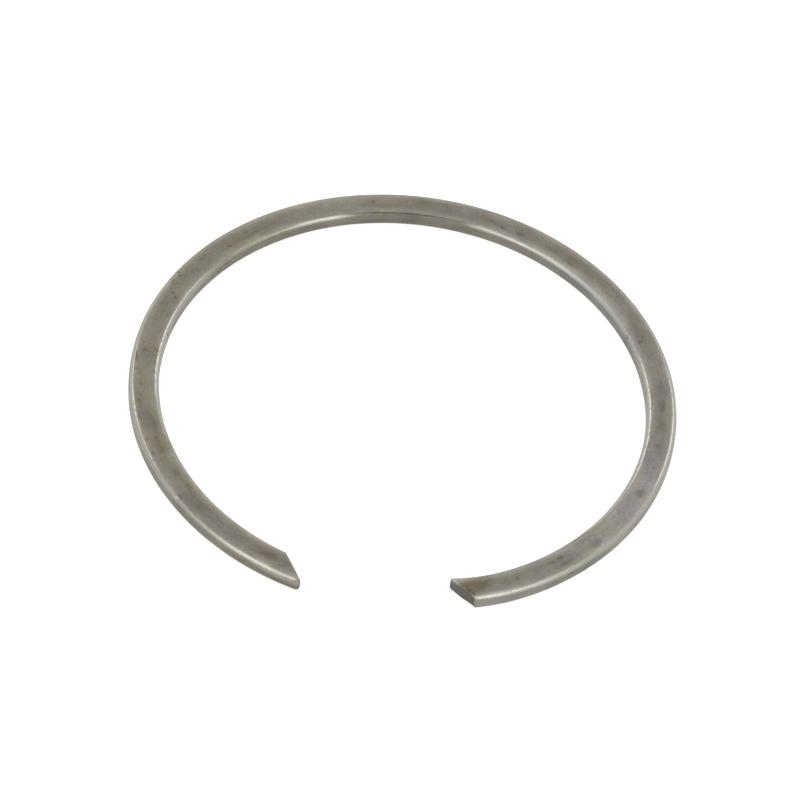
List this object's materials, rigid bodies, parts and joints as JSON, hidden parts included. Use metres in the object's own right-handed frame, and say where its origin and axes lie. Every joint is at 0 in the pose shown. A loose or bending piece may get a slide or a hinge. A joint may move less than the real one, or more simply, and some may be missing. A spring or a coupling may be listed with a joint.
{
  "type": "circlip retaining ring",
  "caption": "Open circlip retaining ring of flat spring wire with rolled edges and slant-cut ends, sprung into a bore's groove to hold a bearing or a hub in place.",
  "frame": {"origin": "centre of the ring on its own axis, at the middle of the wire's thickness", "axes": "+Z along the ring's axis and up as the ring lies flat; the gap between the ends faces -Y; +X is to the right when the gap faces the viewer"},
  "size_m": [0.0574, 0.0562, 0.0016],
  "materials": {
    "spring_steel": "dull drawn spring steel with a faint brown oil-temper tint, brighter along its rolled edges"
  },
  "bodies": {
    "root": {"retaining_ring": "spring_steel"}
  },
  "joints": []
}
